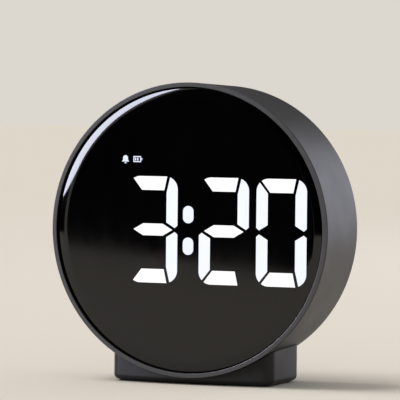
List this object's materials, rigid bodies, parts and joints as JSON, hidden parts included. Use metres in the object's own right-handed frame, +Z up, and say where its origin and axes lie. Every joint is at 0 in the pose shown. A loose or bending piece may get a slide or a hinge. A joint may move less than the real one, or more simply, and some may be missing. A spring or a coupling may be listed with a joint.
{
  "type": "alarm clock",
  "caption": "Round desk alarm clock: a drum on a low foot, with a gloss black face showing large lit segment digits and buttons behind.",
  "frame": {"origin": "on the surface the clock stands on, below the middle of its overall width and depth", "axes": "+Z up; the display faces -Y and the buttons face +Y; +X to the viewer's right when facing the display"},
  "size_m": [0.13, 0.0446, 0.1331],
  "materials": {
    "drum_shell": "fine-textured graphite ABS",
    "foot_plastic": "fine-textured graphite ABS",
    "ring": "satin grey paint",
    "smoked_lens": "polished smoked acrylic, black behind",
    "foam": "black closed-cell foam",
    "black_mask": "matt black",
    "milky_film": "milky",
    "white_reflector": "white",
    "circuit_board": "green solder mask",
    "chip_package": "black moulding compound",
    "nickel_steel": "nickel-plated",
    "cream_nylon": "cream nylon",
    "rear_plastic": "fine-textured dark ABS",
    "button_plastic": "satin ABS",
    "screw_steel": "black zinc plated",
    "battery_wrap": "silver-grey foil laminate",
    "red_wire": "red PVC insulation",
    "black_wire": "black PVC insulation",
    "ribbon": "white flat cable",
    "speaker_steel": "zinc plated",
    "paper_cone": "black paper",
    "ballast_steel": "sheared plate",
    "foot_rubber": "matt black",
    "lit_display": "lit, cool white"
  },
  "bodies": {
    "root": {"ballast_left": "ballast_steel", "ballast_right": "ballast_steel", "base_pad": "foot_rubber", "battery_cell": "battery_wrap", "battery_lead_minus": "black_wire", "battery_lead_plus": "red_wire", "battery_socket": "cream_nylon", "battery_tape": "foam", "board_screw_1": "screw_steel", "board_screw_2": "screw_steel", "board_screw_3": "screw_steel", "board_screw_4": "screw_steel", "button_alarm_switch": "chip_package", "button_down_switch": "chip_package", "button_set_switch": "chip_package", "button_up_switch": "chip_package", "clock_crystal": "nickel_steel", "controller_chip": "chip_package", "cover_screw_1": "screw_steel", "cover_screw_2": "screw_steel", "cover_screw_3": "screw_steel", "cover_screw_4": "screw_steel", "diffuser_sheet": "milky_film", "display_board": "circuit_board", "display_ribbon_socket": "cream_nylon", "display_screw_1": "screw_steel", "display_screw_2": "screw_steel", "display_screw_3": "screw_steel", "display_screw_4": "screw_steel", "foot_screw_left": "screw_steel", "foot_screw_right": "screw_steel", "front_lens": "smoked_lens", "front_ring": "ring", "led_driver_chip": "chip_package", "led_reflector": "white_reflector", "lens_gasket": "foam", "main_board": "circuit_board", "main_ribbon_socket": "cream_nylon", "main_shell": "drum_shell", "rear_cover": "rear_plastic", "ribbon_cable": "ribbon", "segment_mask": "black_mask", "speaker_basket": "speaker_steel", "speaker_cone": "paper_cone", "speaker_lead_minus": "black_wire", "speaker_lead_plus": "red_wire", "speaker_magnet": "speaker_steel", "speaker_socket": "cream_nylon", "stand_base": "foot_plastic", "usb_socket_core": "chip_package", "usb_socket_shell": "nickel_steel"},
    "button_set": {"button_set": "button_plastic", "button_set_plunger": "cream_nylon"},
    "button_down": {"button_down": "button_plastic", "button_down_plunger": "cream_nylon"},
    "button_up": {"button_up": "button_plastic", "button_up_plunger": "cream_nylon"},
    "button_alarm": {"button_alarm": "button_plastic", "button_alarm_plunger": "cream_nylon"}
  },
  "joints": [
    {"name": "button_set_press", "type": "slide", "parent": "root", "child": "button_set", "axis": [0, -1, 0], "range_m": [0, 0.0005], "stiffness_N_per_m": 2000},
    {"name": "button_down_press", "type": "slide", "parent": "root", "child": "button_down", "axis": [0, -1, 0], "range_m": [0, 0.0005], "stiffness_N_per_m": 2000},
    {"name": "button_up_press", "type": "slide", "parent": "root", "child": "button_up", "axis": [0, -1, 0], "range_m": [0, 0.0005], "stiffness_N_per_m": 2000},
    {"name": "button_alarm_press", "type": "slide", "parent": "root", "child": "button_alarm", "axis": [0, -1, 0], "range_m": [0, 0.0005], "stiffness_N_per_m": 2000}
  ]
}
